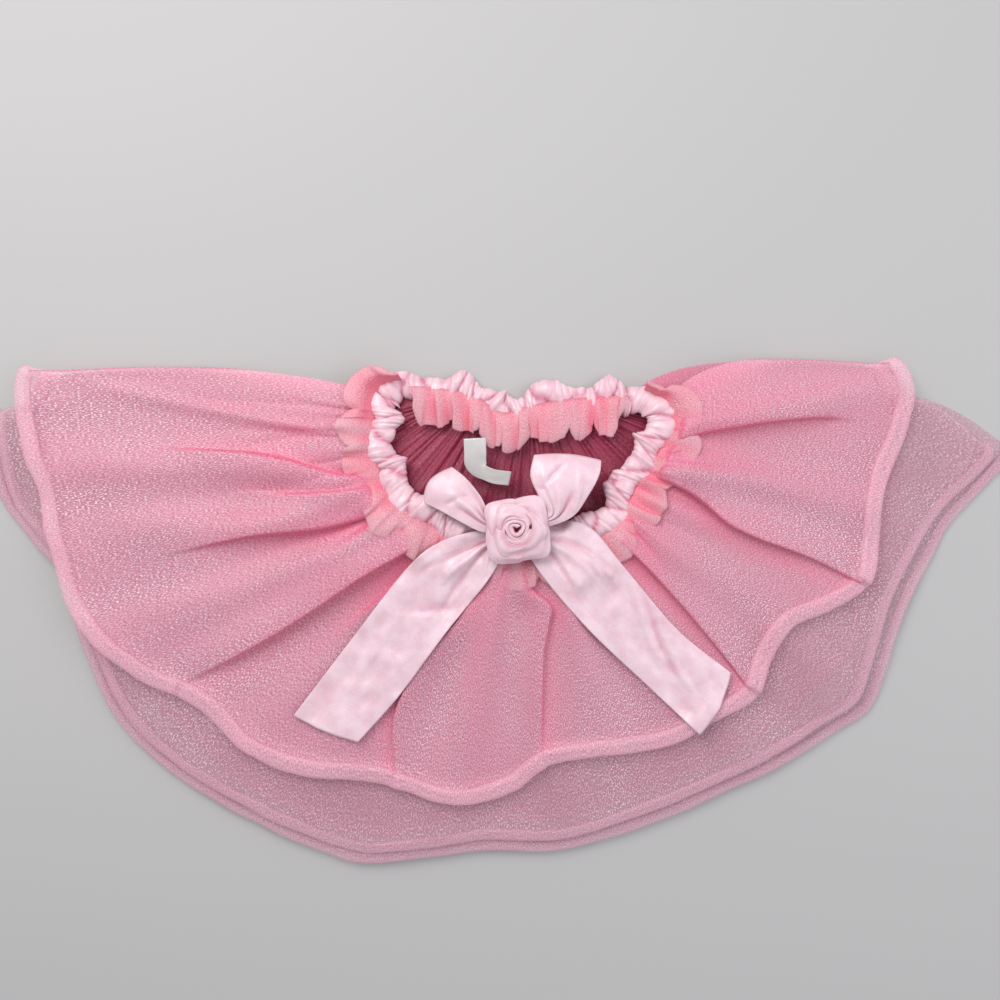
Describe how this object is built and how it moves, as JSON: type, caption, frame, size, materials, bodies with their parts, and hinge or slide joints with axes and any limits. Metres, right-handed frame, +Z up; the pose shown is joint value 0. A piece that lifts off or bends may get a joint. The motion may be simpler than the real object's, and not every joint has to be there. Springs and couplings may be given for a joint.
{
  "type": "ballet tutu",
  "caption": "Child's pull-on tutu laid flat: two tiers of sheer glitter organza with rolled hems, a ruched satin elastic waist and a satin ribbon bow with a rosette.",
  "frame": {"origin": "middle of the footprint, on the surface it lies on", "axes": "+X across the skirt to the viewer's right, +Y from the hem towards the waist, +Z up from the surface"},
  "size_m": [0.5938, 0.29, 0.0373],
  "materials": {
    "top_tier_organza": "sheer pink organza with fine glitter",
    "lower_tier_organza": "sheer dusty pink organza with fine glitter",
    "hem_organza": "rolled organza, nearly opaque, finely ribbed",
    "frill_organza": "gathered coral pink organza, soft folds",
    "casing_satin": "ruched satin, soft sheen",
    "ribbon_satin": "smooth satin ribbon, bright sheen",
    "label_satin": "plain off-white satin, blank"
  },
  "bodies": {
    "root": {"top_tier_back": "top_tier_organza", "top_tier_front": "top_tier_organza", "lower_tier_back": "lower_tier_organza", "lower_tier_front": "lower_tier_organza", "top_hem_back": "hem_organza", "top_hem_front": "hem_organza", "lower_hem_back": "hem_organza", "lower_hem_front": "hem_organza", "waist_casing": "casing_satin", "frill_outer": "frill_organza", "frill_inner": "frill_organza", "care_label": "label_satin", "bow_loop_left": "ribbon_satin", "bow_loop_right": "ribbon_satin", "bow_tail_left": "ribbon_satin", "bow_tail_right": "ribbon_satin", "rosette_heart": "ribbon_satin", "rosette_petal_inner_1": "ribbon_satin", "rosette_petal_inner_2": "ribbon_satin", "rosette_petal_inner_3": "ribbon_satin", "rosette_petal_outer_1": "ribbon_satin", "rosette_petal_outer_2": "ribbon_satin", "rosette_petal_outer_3": "ribbon_satin", "rosette_petal_outer_4": "ribbon_satin"}
  },
  "joints": []
}
